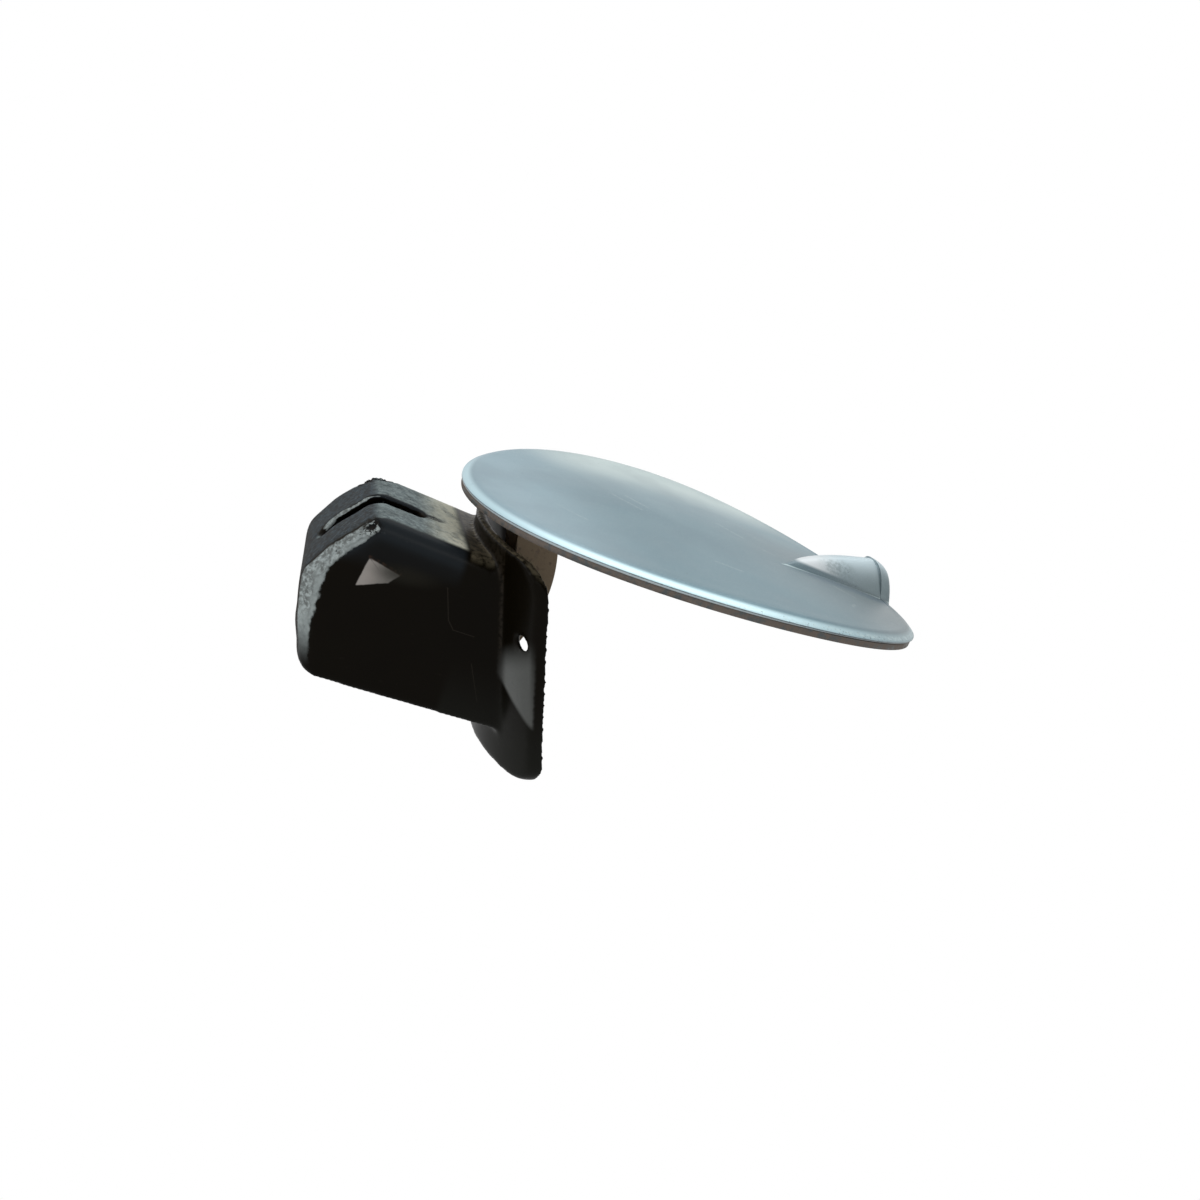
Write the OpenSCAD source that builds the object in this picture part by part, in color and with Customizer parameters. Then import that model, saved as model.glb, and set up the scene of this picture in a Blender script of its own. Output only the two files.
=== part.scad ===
// Round car fuel door with its hinge box, closed.
// X runs from the hinge to the finger scoop, Y along the hinge pin, Z out of the flap.
// The origin is the flap's centre, level with its rim at the two ends of the Y diameter.

/* [Flap] */
// Diameter of the flap
flap_d = 165; // [160:1:172]
// Drop of the rim at the hinge and the scoop below the rim beside them
flap_sag = 7; // [5:0.5:9]
// Depth of the shallow dish inside the rim
flap_dish = 2; // [1:0.25:2.5]
// Radius of the rolled rim
rim_r = 3; // [2:0.25:3.5]
// Height of the skin's turned wall
rim_wall = 4.2; // [4:0.1:5]
// Thickness of the outer skin
skin_t = 1.2; // [0.9:0.1:1.4]

/* [Finger scoop] */
// Length of the scoop, from the flap's edge in to its nose
scoop_l = 51.5; // [45:0.5:56]
// Half the width of the scoop
scoop_half_w = 11.2; // [10:0.2:13]
// Height of the scoop's mouth
scoop_h = 12.8; // [10:0.2:15]
// Length over which the scoop widens from its nose
scoop_nose_len = 36; // [24:1:38]
// Shift of the nose's tip to the near side, as a share of the half width
scoop_side = 1.17; // [0:0.01:1.2]
// Setback of the mouth's crown from the rim
scoop_lean = 3.5; // [2:0.5:6]
// Turn of the scoop about the flap's centre
scoop_turn = 2; // [-4:0.5:4]

/* [Inner panel] */
// Depth of the panel's edge band below the skin's wall
band_h = 2; // [1.5:0.1:2.5]
// Width of the edge band
band_w = 5; // [3:0.5:7]
// Thickness of the pressed panel
panel_t = 1.2; // [0.8:0.1:1.4]
// Step from the skin's wall in to the band
band_step = 0.5; // [0.2:0.1:1]
// Gap between the skin and the panel
panel_gap = 0.15; // [0.1:0.05:0.3]
// Half the width of the finger notch
notch_half_w = 8.5; // [7:0.5:9.5]
// Length of the finger notch
notch_len = 26; // [22:1:30]

/* [Buffers] */
// Distance of the buffers in from the flap's edge
buffer_in = 17.5; // [15:0.5:24]
// Angle of the buffers about the flap's axis, from the scoop's end
buffer_angle = 42.5; // [35:0.5:50]
// Radius of a buffer's head
buffer_r = 5.5; // [4.5:0.5:7]
// Height of a buffer's head
buffer_h = 5; // [3:0.5:7]
// Radius of a buffer's stem
buffer_stem_r = 2.6; // [2:0.2:3]
// Height of the bead that holds a buffer in the panel
bead_h = 1.6; // [1:0.1:2]
// Width of that bead outside the stem
bead_w = 0.8; // [0.5:0.1:1.2]

/* [Hinge] */
// Distance of the pin behind the flange's back, at the level of the origin
pin_back = 18.4; // [17.4:0.1:19.4]
// Depth of the pin below the origin
pin_z = 33; // [32.5:0.5:34]
// Radius of the pin
pin_r = 3; // [2.5:0.1:3.4]
// Radial clearance round the pin
pin_clear = 0.05; // [0.03:0.01:0.08]
// Radius of a bush in the arm's eye
bush_r = 4.5; // [4.2:0.1:5]
// Radius of a bush's collar
bush_collar_r = 6.5; // [6:0.1:7]
// Thickness of a bush's collar
bush_collar_t = 1; // [0.8:0.1:1.2]
// Gap between a bush's collar and its boss
bush_gap = 0.3; // [0.2:0.05:0.5]

/* [Hinge arm] */
// Width of the arm's channel
arm_w = 24; // [22:0.5:26]
// Thickness of the arm's side plates
arm_side_t = 2; // [1.6:0.1:2.4]
// Thickness of the arm's web and pad
arm_web_t = 2.5; // [2:0.1:2.8]
// Inner radius of the neck about the pin
neck_r_in = 38; // [37.5:0.5:39]
// Outer radius of the neck about the pin
neck_r_out = 52; // [50:0.5:52.5]
// Depth of the arm's lowest face below the pin
arm_drop = 39.5; // [38:0.5:39.5]
// Height of the arm's bottom bar
arm_bar_h = 7.5; // [6.5:0.25:8]
// Half the width of the arm's leg
leg_half_w = 5.5; // [5:0.25:5.5]
// Radius of the arm's eye
eye_r = 7.5; // [7:0.25:8]
// Length of the pad under the flap
pad_l = 38; // [34:1:40]
// Width of the pad under the flap
pad_w = 42; // [42:1:46]
// Distance from the pin to the pad's hinge end
pad_start = 31; // [30:1:33]
// Distance of the rivets from the pad's ends
rivet_end = 7.6; // [6:0.2:9]
// Distance of the rivets from the pad's sides
rivet_side = 4.5; // [4.5:0.1:5]
// Radius of a rivet
rivet_r = 2.5; // [2:0.25:3]
// Radius of a rivet's head
rivet_head_r = 4; // [3.5:0.25:4.25]
// Height of a rivet's head
rivet_head_h = 1.6; // [1:0.1:2]

/* [Hinge box] */
// Half the width of the hinge box
box_half_w = 27.5; // [27:0.5:30]
// Wall of the hinge box
box_wall = 2.5; // [2:0.1:2.6]
// Distance of the end wall behind the pin
box_end_back = 25.5; // [24:0.5:27]
// Depth of the shoulder, where the end wall starts to lean in, below the pin
shoulder_down = 8; // [6:0.5:10]
// Distance of the ridge behind the pin
ridge_back = 11.5; // [9:0.5:12]
// Height of the ridge above the pin
ridge_up = 14.5; // [14.5:0.5:16]
// Fall of the box's top from the ridge towards the flange, per length
top_fall = 0.14; // [0.1:0.01:0.14]
// Depth of the floor at the end wall
box_floor_z = 74; // [74:0.5:77]
// Fall of the floor towards the flange, per length
floor_fall = 0.1; // [0:0.01:0.12]
// Radius of the shoulder
shoulder_r = 12; // [8:1:13]
// Radius of the ridge
ridge_r = 7; // [5:0.5:9]
// Radius of the floor's corner
box_corner_r = 6; // [5:0.5:8]
// Radius of the box's rounded side edges
box_edge_r = 6; // [5:0.5:7]
// Radius of the pin bosses
boss_r = 6.5; // [6:0.25:7]
// Width of the slot over the box's shoulder
slot_w = 8; // [6:0.5:9]
// Offset of the slot towards the near side
slot_y = -3.5; // [-6:0.5:0]
// Depth at which the slot ends on the leaning wall, below the pin
slot_down = 4.3; // [2:0.1:4.5]
// Distance at which the slot ends on the top, in front of the pin
slot_front = 6; // [3:0.5:8]

/* [Flange] */
// Distance from the flap's edge in to the flange's back, at the level of the origin
flange_in = 1.9; // [1.4:0.1:2.5]
// Taper of the flange, radius per length of depth
flange_taper = 0.263; // [0.25:0.001:0.27]
// Thickness of the flange
flange_t = 2.5; // [2:0.1:2.6]
// Depth of the turned skirt
skirt_h = 1.5; // [1:0.1:2]
// Thickness of the skirt
skirt_t = 2; // [1.6:0.1:2.2]
// Half the width of the flange at its upper edge
flange_half_w = 43.7; // [43.5:0.1:46]
// Narrowing of each side of the flange, per length of depth
flange_narrow = 0.057; // [0.04:0.001:0.06]
// Depth of the flange's upper edge
flange_top_z = 17.5; // [17:0.5:18.5]
// Depth of the flange's lower edge
flange_low_z = 94.5; // [92:0.5:96]
// Radius of the flange's corners
flange_corner_r = 9; // [7:0.5:11]
// Radius of the screw holes
screw_r = 2.5; // [2:0.1:2.6]
// Angle of the screw holes round the flap's axis
screw_angle = 32.5; // [32:0.1:33]
// Depth of the screw holes
screw_z = 44.5; // [40:0.5:50]

/* [Return spring] */
// Radius of the spring's wire
wire_r = 0.8; // [0.6:0.05:1]
// Mean radius of the spring's coil
coil_r = 5.2; // [5:0.1:6]
// Turns of the coil
coil_turns = 7; // [5:1:8]
// Gap between two turns, and between a leg and what it rests on
wire_gap = 0.3; // [0.15:0.05:0.4]

/* [Stop pad] */
// Length of the stop pad
stop_l = 8; // [6:0.5:9]
// Distance from the pin to the middle of the stop pad
stop_x = 15; // [13:0.5:18]
// Gap left between the stop pad and the open arm
stop_gap = 0.3; // [0.2:0.05:0.5]

/* [Push nut] */
// Radius of the push nut
nut_r = 7; // [6:0.25:8]
// Thickness of the push nut
nut_t = 0.8; // [0.6:0.1:1]
// Length of pin past the push nut
pin_tail = 2; // [1:0.25:3]

/* [Hidden] */

$fn = 96;
// Small overlap that joins solids of one piece
eps = 0.01;
// Length that reaches past anything it cuts
far = 400;
// Length by which a cut runs past a face
spare = 1;

paint_colour = [0.62, 0.68, 0.72];
panel_colour = [0.50, 0.55, 0.58];
steel_colour = [0.60, 0.56, 0.52];
rubber_colour = [0.10, 0.10, 0.10];
plastic_colour = [0.06, 0.055, 0.05];

flap_r = flap_d / 2;
flange_r = flap_r - flange_in;
pin_x = flange_r + pin_back;
scoop_nose_x = flap_r - scoop_l;
buffer_x = (flap_r - buffer_in) * cos(buffer_angle);
buffer_y = (flap_r - buffer_in) * sin(buffer_angle);
// Radius of the cylinder about Y that the rim lies on
bend_r = (flap_r * flap_r + flap_sag * flap_sag) / (2 * flap_sag);

// Heights below the bent rim surface
wall_low = rim_wall;
panel_low = wall_low + panel_gap + band_h;
pad_low = panel_low + arm_web_t;

// Height of the bent surface at a distance from the Y axis
function bend(x) = sqrt(bend_r * bend_r - x * x) - bend_r;

// Height of the skin away from the scoop
function dish(x, y) = bend(x) - flap_dish * max(0, 1 - (x * x + y * y) / (flap_r * flap_r));

// Share of its full width that the scoop has at x
function nose(x) = let (t = min(1, max(0, (x - scoop_nose_x) / scoop_nose_len))) t * (2 - t);
// Half width of the scoop, its middle and its height at x
function scoop_w(x) = scoop_half_w * nose(x);
function scoop_y(x) = -scoop_side * scoop_half_w * (1 - nose(x));
function scoop_rise(x) = scoop_h * (x - scoop_nose_x) / (flap_r - scoop_lean - scoop_nose_x);
function under_hood(x, y) = x > scoop_nose_x && abs(y - scoop_y(x)) < scoop_w(x);
function hood(x, y) = !under_hood(x, y) ? 0 : scoop_rise(x) * (1 - pow((y - scoop_y(x)) / scoop_w(x), 2));
// Height of the skin, with the scoop lying along X
function skin_z(x, y) = dish(x, y) + hood(x, y);

// Centre of the rays that lay out the skin, on the scoop's axis
ray_x = flap_r - scoop_half_w - scoop_lean;
ray_count = 144;
// How much closer the rays lie at the scoop's mouth, in degrees of shift
ray_bunching = 37;
hood_rings = 5;
field_rings = 7;
face_rings = hood_rings + field_rings;
rim_steps = 4;
// Width of the strip outside the scoop's mouth
lip = 0.4;
// Share of the turned wall that is left at the crown of the mouth
lip_share = 0.4;

// Point of the rim's inner edge that a ray aims at
function aim(i) =
    let (t = 360 * i / ray_count, a = t - ray_bunching * sin(t))
    (flap_r - rim_r) * [cos(a), sin(a)];
// Share of the scoop's full height at the mouth, 1 at its crown and 0 off the mouth
function mouth(p) = p[0] < ray_x || abs(p[1]) >= scoop_half_w ? 0 : 1 - pow(p[1] / scoop_half_w, 2);
function on_ray(dir, d) = [ray_x + d * dir[0], d * dir[1]];
// Distance along a ray at which it leaves the hood, by halving
function hood_end(dir, lo, hi, n) =
    let (middle = (lo + hi) / 2, p = on_ray(dir, middle))
    n == 0 ? lo
    : under_hood(p[0], p[1]) ? hood_end(dir, middle, hi, n - 1)
    : hood_end(dir, lo, middle, n - 1);

// For each ray: direction, end of the hood, end of the field, share of the mouth, aim
rays = [for (i = [0 : ray_count - 1])
    let (
        p = aim(i),
        m = mouth(p),
        reach = norm(p - [ray_x, 0]),
        dir = (p - [ray_x, 0]) / reach,
        end = reach - scoop_lean * m
    )
    [dir, min(hood_end(dir, 0, flap_d, 20), end - lip), end, m, p]];

// Point on the skin's upper face, in ring k of a ray, lowered by an inset
function skin_point(k, ray, inset) =
    let (
        d = k <= hood_rings ? ray[1] * k / hood_rings
            : ray[1] + (ray[2] - ray[1]) * (k - hood_rings) / field_rings,
        p = on_ray(ray[0], d)
    )
    [p[0], p[1], skin_z(p[0], p[1]) - inset];

// Point on the rolled rim at radius rr and depth dz below the rim surface
function rim_point(ray, rr, dz) =
    let (
        p = on_ray(ray[0], ray[2]),
        q = ray[4] * (rr - scoop_lean * ray[3]) / (flap_r - rim_r),
        drop = dz * (1 - (1 - lip_share) * ray[3])
    )
    [q[0], q[1], bend(q[0]) + hood(p[0], p[1]) - drop];

// Section of the rolled rim: radius, and depth below the rim surface
skin_profile = concat(
    [for (j = [0 : rim_steps])
        let (t = 90 * j / rim_steps) [flap_r - rim_r + rim_r * sin(t), rim_r - rim_r * cos(t)]],
    [[flap_r, wall_low], [flap_r - skin_t, wall_low]],
    [for (j = [rim_steps : -1 : 0])
        let (t = 90 * j / rim_steps)
        [flap_r - rim_r + (rim_r - skin_t) * sin(t), rim_r - (rim_r - skin_t) * cos(t)]]
);

module flap_skin() {
    loop = concat(
        [for (k = [1 : face_rings - 1]) [0, k]],
        [for (p = skin_profile) [1, p]],
        [for (k = [face_rings - 1 : -1 : 1]) [2, k]]
    );
    rows = len(loop);
    points = concat(
        [skin_point(0, rays[0], 0), skin_point(0, rays[0], skin_t)],
        [for (q = loop) for (ray = rays)
            q[0] == 0 ? skin_point(q[1], ray, 0)
            : q[0] == 2 ? skin_point(q[1], ray, skin_t)
            : rim_point(ray, q[1][0], q[1][1])]
    );
    function at(r, i) = 2 + r * ray_count + (i % ray_count);
    faces = concat(
        [for (i = [0 : ray_count - 1]) [0, at(0, i + 1), at(0, i)]],
        [for (i = [0 : ray_count - 1]) [1, at(rows - 1, i), at(rows - 1, i + 1)]],
        [for (r = [0 : rows - 2]) for (i = [0 : ray_count - 1])
            each [[at(r, i), at(r, i + 1), at(r + 1, i)], [at(r, i + 1), at(r + 1, i + 1), at(r + 1, i)]]]
    );
    color(paint_colour) rotate([0, 0, scoop_turn]) polyhedron(points, faces, convexity = 6);
}

// Slab between two depths below the bent rim surface, open all round
module bent_slab(depth_a, depth_b, half_y) {
    translate([0, half_y, -bend_r]) rotate([90, 0, 0])
        difference() {
            cylinder(r = bend_r - depth_a, h = 2 * half_y, $fn = 360);
            translate([0, 0, -spare]) cylinder(r = bend_r - depth_b, h = 2 * (half_y + spare), $fn = 360);
        }
}

// Upright column that keeps only the part of a slab near the flap
module column(r) {
    translate([0, 0, -flap_r]) cylinder(r = r, h = 2 * flap_r);
}

module flap_inner_panel() {
    band_r = flap_r - band_step;
    color(panel_colour) difference() {
        union() {
            intersection() {
                bent_slab(panel_low - panel_t, panel_low, flap_r);
                column(band_r);
            }
            intersection() {
                bent_slab(wall_low + panel_gap, panel_low, flap_r);
                difference() {
                    column(band_r);
                    for (shift = [-spare, spare]) translate([0, 0, shift]) column(band_r - band_w);
                }
            }
        }
        rotate([0, 0, scoop_turn]) translate([flap_r - notch_len + notch_half_w, 0, -flap_r]) {
            cylinder(r = notch_half_w, h = 2 * flap_r);
            translate([0, -notch_half_w, 0]) cube([notch_len, 2 * notch_half_w, 2 * flap_r]);
        }
        for (side = [-1, 1])
            translate([buffer_x, side * buffer_y, -flap_r]) cylinder(r = buffer_stem_r, h = 2 * flap_r);
        rivet_places() translate([0, 0, -flap_r]) cylinder(r = rivet_r, h = 2 * flap_r);
    }
}

// A buffer pushed through the inner panel: head below, stem, and bead above
module bump_stop(side) {
    seat = bend(buffer_x) - panel_low;
    color(rubber_colour) translate([buffer_x, side * buffer_y, 0]) {
        difference() {
            translate([0, 0, seat - buffer_h])
                cylinder(r1 = buffer_r - bead_w, r2 = buffer_r, h = buffer_h + bead_h);
            translate([-buffer_x, -side * buffer_y, 0]) bent_slab(-far, panel_low, flap_r);
        }
        translate([0, 0, seat - spare]) cylinder(r = buffer_stem_r, h = spare + panel_t + bead_h);
        difference() {
            translate([0, 0, seat]) cylinder(r = buffer_stem_r + bead_w, h = panel_t + bead_h);
            translate([-buffer_x, -side * buffer_y, 0]) bent_slab(panel_low - panel_t, far, flap_r);
        }
    }
}

module bump_stop_near() { bump_stop(-1); }
module bump_stop_far() { bump_stop(1); }

// Frame whose origin is on the pin's axis, with the axis along Y
module at_pin() { translate([-pin_x, 0, -pin_z]) children(); }

// Bar along Y between two places, on the axis of the current frame
module bar_y(r, y0, y1) { translate([0, y1, 0]) rotate([90, 0, 0]) cylinder(r = r, h = y1 - y0); }

// Plate in the XZ plane between two places along Y
module plate_y(y0, y1) { translate([0, y1, 0]) rotate([90, 0, 0]) linear_extrude(height = y1 - y0) children(); }

// Part of a ring about the origin, from angle a0 to angle a1, each within half a turn
module ring_2d(r_in, r_out, a0, a1) {
    intersection() {
        difference() { circle(r = r_out); circle(r = r_in); }
        polygon([[0, 0], for (t = [0 : 4]) 2 * r_out * [cos(a0 + (a1 - a0) * t / 4), sin(a0 + (a1 - a0) * t / 4)]]);
    }
}

neck_top_angle = 16;
neck_low_angle = -60;
// Lean of the neck's top towards the pin, up to the pad
neck_lean = 1;
// Height of the pad's lower face above the pin, at the neck
pad_rise = pin_z + bend(pin_x - neck_r_out) - pad_low;
bar_top = arm_drop - arm_bar_h;
// Outer end of the arm's bottom bar, where it meets the neck's circle
bar_end = sqrt(neck_r_out * neck_r_out - arm_drop * arm_drop);

// Side view of the arm about the pin
module arm_profile() {
    neck = neck_r_out - neck_r_in;
    intersection() {
        ring_2d(neck_r_in, neck_r_out, neck_low_angle, neck_top_angle);
        translate([-far, -arm_drop]) square(2 * far);
    }
    polygon([
        neck_r_in * [cos(neck_top_angle), sin(neck_top_angle)],
        neck_r_out * [cos(neck_top_angle), sin(neck_top_angle)],
        [neck_r_out * cos(neck_top_angle) - neck_lean, pad_rise + arm_web_t / 2],
        [neck_r_out * cos(neck_top_angle) - neck_lean - neck, pad_rise + arm_web_t / 2]
    ]);
    translate([-leg_half_w, -arm_drop]) square([bar_end + leg_half_w, arm_bar_h]);
    translate([-leg_half_w, -arm_drop]) square([2 * leg_half_w, arm_drop]);
    circle(r = eye_r);
}

// Side view of the arm's web: its outer edge and the back of its leg
module arm_web_profile() {
    intersection() {
        ring_2d(neck_r_out - arm_web_t, neck_r_out, neck_low_angle, neck_top_angle);
        translate([-far, -arm_drop]) square(2 * far);
    }
    translate([-leg_half_w, -arm_drop]) square([bar_end + leg_half_w, arm_web_t]);
    translate([-leg_half_w, -arm_drop]) square([arm_web_t, arm_drop - eye_r - coil_r]);
    polygon([
        neck_r_out * [cos(neck_top_angle), sin(neck_top_angle)],
        [neck_r_out * cos(neck_top_angle) - neck_lean, pad_rise + arm_web_t / 2],
        [neck_r_out * cos(neck_top_angle) - neck_lean - arm_web_t, pad_rise + arm_web_t / 2],
        (neck_r_out - arm_web_t) * [cos(neck_top_angle), sin(neck_top_angle)]
    ]);
}

// Places of the rivets that hold the pad to the panel
module rivet_places() {
    for (along = [rivet_end, pad_l - rivet_end]) for (side = [-1, 1])
        translate([-pin_x + pad_start + along, side * (pad_w / 2 - rivet_side), 0]) children();
}

module hinge_arm() {
    half = arm_w / 2;
    color(steel_colour) difference() {
        union() {
            at_pin() {
                for (side = [0, 1])
                    plate_y(side * (arm_w - arm_side_t) - half, side * (arm_w - arm_side_t) - half + arm_side_t)
                        arm_profile();
                plate_y(-half, half) arm_web_profile();
            }
            intersection() {
                bent_slab(panel_low, pad_low, flap_r);
                translate([-pin_x + pad_start, -pad_w / 2, -flap_r]) cube([pad_l, pad_w, flap_r]);
            }
        }
        at_pin() bar_y(bush_r, -arm_w, arm_w);
        rivet_places() translate([0, 0, -flap_r]) cylinder(r = rivet_r, h = 2 * flap_r);
    }
}

module arm_rivets() {
    color(steel_colour) {
        intersection() {
            rivet_places() translate([0, 0, -flap_r]) cylinder(r = rivet_r, h = flap_r);
            bent_slab(panel_low - panel_t - eps, pad_low + eps, flap_r);
        }
        intersection() {
            rivet_places() translate([0, 0, -flap_r]) cylinder(r = rivet_head_r, h = flap_r);
            bent_slab(panel_low - panel_t - rivet_head_h, panel_low - panel_t, flap_r);
        }
        intersection() {
            rivet_places() translate([0, 0, -flap_r]) cylinder(r = rivet_head_r, h = flap_r);
            bent_slab(pad_low, pad_low + rivet_head_h, flap_r);
        }
    }
}

module pin_bush(side) {
    half = arm_w / 2;
    color("#3a3a3a") at_pin() mirror([0, side > 0 ? 1 : 0, 0]) difference() {
        union() {
            bar_y(bush_r, -half - bush_collar_t, -half + arm_side_t);
            bar_y(bush_collar_r, -half - bush_collar_t, -half);
        }
        bar_y(pin_r + pin_clear, -arm_w, 0);
    }
}

module pin_bush_near() { pin_bush(-1); }
module pin_bush_far() { pin_bush(1); }

// Solid inside the flange's tapered surface, set in by an amount
module taper_solid(inset) {
    low = 2 * flange_low_z;
    translate([0, 0, -low])
        cylinder(r1 = flange_r - flange_taper * low - inset, r2 = flange_r - inset, h = low, $fn = 240);
}

// Arc that rounds corner b between a and c: its centre and its two ends
function rounding(a, b, c, r) =
    let (
        u = (a - b) / norm(a - b),
        v = (c - b) / norm(c - b),
        half = acos(u * v) / 2
    )
    [b + r / sin(half) * (u + v) / norm(u + v), b + r / tan(half) * u, b + r / tan(half) * v];

// Outline with rounded corners, each given as [x, y, radius], set in by an amount
module rounded(corners, inset) {
    n = len(corners);
    function spot(i) = [corners[i % n][0], corners[i % n][1]];
    arcs = [for (i = [0 : n - 1]) rounding(spot(i + n - 1), spot(i), spot(i + 1), corners[i][2])];
    polygon([for (i = [0 : n - 1]) for (end = [1, 2])
        arcs[i][0] + (arcs[i][end] - arcs[i][0]) * (1 - inset / corners[i][2])]);
    for (i = [0 : n - 1]) translate(arcs[i][0]) circle(r = corners[i][2] - inset);
}

// Prism along X of an outline drawn in Y and Z, on the hinge side of the flap
module prism_x() {
    translate([-far, 0, 0]) rotate([90, 0, 90]) linear_extrude(height = far) children();
}

// Prism along Y of an outline drawn in X and Z
module prism_y(half_y) {
    translate([0, half_y, 0]) rotate([90, 0, 0]) linear_extrude(height = 2 * half_y) children();
}

// Place where the box has run out past the flange
box_front_x = 30;
box_end_x = pin_x + box_end_back;
box_run = box_end_x - box_front_x;

// Corners of the box's side view, in X and Z: shoulder, ridge and floor
shoulder = [-box_end_x, -pin_z - shoulder_down];
ridge = [-pin_x - ridge_back, -pin_z + ridge_up];
top_front = [-box_front_x, ridge[1] + (ridge[0] + box_front_x) * top_fall];
floor_back = [-box_end_x, -box_floor_z];
floor_front = [-box_front_x, -box_floor_z - box_run * floor_fall];
box_corners = [
    [each shoulder, shoulder_r],
    [each ridge, ridge_r],
    [each top_front, box_corner_r],
    [each floor_front, box_corner_r],
    [each floor_back, box_corner_r]
];

// Solid under a line of the box's side view, with its two side edges rounded
module under_line(a, b, inset) {
    edges = [
        [-box_half_w, -far, box_edge_r],
        [-box_half_w, 0, box_edge_r],
        [box_half_w, 0, box_edge_r],
        [box_half_w, -far, box_edge_r]
    ];
    translate([a[0], 0, a[1]]) rotate([0, -atan2(b[1] - a[1], b[0] - a[0]), 0])
        translate([-far, 0, 0]) rotate([90, 0, 90]) linear_extrude(height = 2 * far) rounded(edges, inset);
}

// The box as a solid, set in by an amount, with its side edges rounded
module box_solid(inset) {
    intersection() {
        prism_y(box_half_w - inset) rounded(box_corners, inset);
        under_line(ridge, top_front, inset);
        under_line(shoulder, ridge, inset);
        under_line(floor_back, shoulder, inset);
    }
}

// Direction of a screw hole's axis, out of the flange's back
module at_screw(side) {
    rotate([0, 0, 180 - side * screw_angle])
        translate([flange_r - flange_taper * screw_z, 0, -screw_z])
            rotate([0, 90 + atan(flange_taper), 0]) children();
}

flange_low_half_w = flange_half_w - flange_narrow * (flange_low_z - flange_top_z);
flange_corners = [
    [-flange_low_half_w, -flange_low_z, flange_corner_r],
    [-flange_half_w, -flange_top_z, flange_corner_r],
    [flange_half_w, -flange_top_z, flange_corner_r],
    [flange_low_half_w, -flange_low_z, flange_corner_r]
];

module flange() {
    difference() {
        intersection() {
            prism_x() rounded(flange_corners, 0);
            taper_solid(0);
        }
        intersection() {
            prism_x() rounded(flange_corners, skirt_t);
            taper_solid(flange_t);
        }
        taper_solid(flange_t + skirt_h);
    }
}

// Slot over the leaning wall and the ridge, with round ends
module shoulder_slot() {
    r = slot_w / 2;
    low = -slot_down + r;
    end = slot_front - r;
    at_pin() translate([0, slot_y, 0]) {
        translate([-far, -r, low]) cube([far + end, slot_w, far]);
        translate([-far, 0, low]) rotate([0, 90, 0]) cylinder(r = r, h = far - box_end_back + shoulder_r);
        translate([end, 0, low]) cylinder(r = r, h = far);
    }
}

boss_face = arm_w / 2 + bush_collar_t + bush_gap;
inner_half_w = box_half_w - box_wall;

module housing() {
    color(plastic_colour) difference() {
        union() {
            difference() {
                box_solid(0);
                taper_solid(eps);
            }
            flange();
            intersection() {
                at_pin() {
                    bar_y(boss_r, -box_half_w, -boss_face);
                    bar_y(boss_r, boss_face, box_half_w);
                }
                box_solid(0);
            }
        }
        difference() {
            box_solid(box_wall);
            at_pin() {
                bar_y(boss_r, -box_half_w, -boss_face);
                bar_y(boss_r, boss_face, box_half_w);
            }
        }
        at_pin() bar_y(pin_r + pin_clear, -inner_half_w, box_half_w + spare);
        shoulder_slot();
        for (side = [-1, 1]) at_screw(side) translate([0, 0, -2 * screw_r]) cylinder(r = screw_r, h = 4 * screw_r);
    }
}

module hinge_pin() {
    color("#8a8a8a") at_pin() bar_y(pin_r, -inner_half_w, box_half_w + nut_t + pin_tail);
}

module pin_push_nut() {
    color("#6f6f6f") at_pin() difference() {
        bar_y(nut_r, box_half_w, box_half_w + nut_t);
        bar_y(pin_r, 0, 2 * box_half_w);
    }
}

// Route of the spring's wire about the pin: a leg on the arm, the coil, and a leg on the end wall
spring_pitch = 2 * wire_r + wire_gap;
coil_steps = 20;
// Turns that the coil makes between its two legs
coil_run = coil_turns - 0.25;
coil_len = coil_run * spring_pitch;
leg_x = leg_half_w + wire_r + wire_gap;
leg_low = 6;
wall_x = box_end_back - box_wall - wire_r - wire_gap;
spring_route = concat(
    [[-leg_x, -coil_len / 2, -arm_drop + arm_bar_h + leg_low], [-leg_x, -coil_len / 2, -2 * coil_r]],
    [for (i = [0 : coil_steps * coil_run])
        let (t = 180 - 360 * i / coil_steps)
        [coil_r * cos(t), -coil_len / 2 + spring_pitch * i / coil_steps, coil_r * sin(t)]],
    [[-2 * coil_r, coil_len / 2, -coil_r], [-wall_x, coil_len / 2, -3 * coil_r]]
);

// Round wire swept along a route: rings square to the route, joined by triangles
module wire(route, r, sides) {
    last = len(route) - 1;
    function unit(v) = v / norm(v);
    function along(i) = unit(route[min(i + 1, last)] - route[max(i - 1, 0)]);
    function ring(i) =
        let (t = along(i), u = unit(cross(t, [0.02, 1, 0.01])), v = cross(t, u))
        [for (k = [0 : sides - 1]) route[i] + r * (cos(360 * k / sides) * u + sin(360 * k / sides) * v)];
    points = [for (i = [0 : last]) each ring(i)];
    faces = concat(
        [[for (k = [0 : sides - 1]) k]],
        [[for (k = [sides - 1 : -1 : 0]) last * sides + k]],
        [for (i = [0 : last - 1]) for (k = [0 : sides - 1])
            let (a = i * sides + k, b = i * sides + (k + 1) % sides)
            each [[a, a + sides, b], [b, a + sides, b + sides]]]
    );
    polyhedron(points, faces, convexity = 10);
}

module return_spring() {
    color("#77736e") at_pin() wire(spring_route, wire_r, 8);
}

module open_stop_pad() {
    color(rubber_colour) intersection() {
        box_solid(box_wall);
        translate([-pin_x + stop_x - stop_l / 2, -arm_w / 2, -pin_z + leg_half_w + stop_gap])
            cube([stop_l, arm_w, pin_z]);
    }
}

flap_skin();
flap_inner_panel();
bump_stop_near();
bump_stop_far();
hinge_arm();
arm_rivets();
pin_bush_near();
pin_bush_far();
housing();
hinge_pin();
pin_push_nut();
return_spring();
open_stop_pad();
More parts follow.
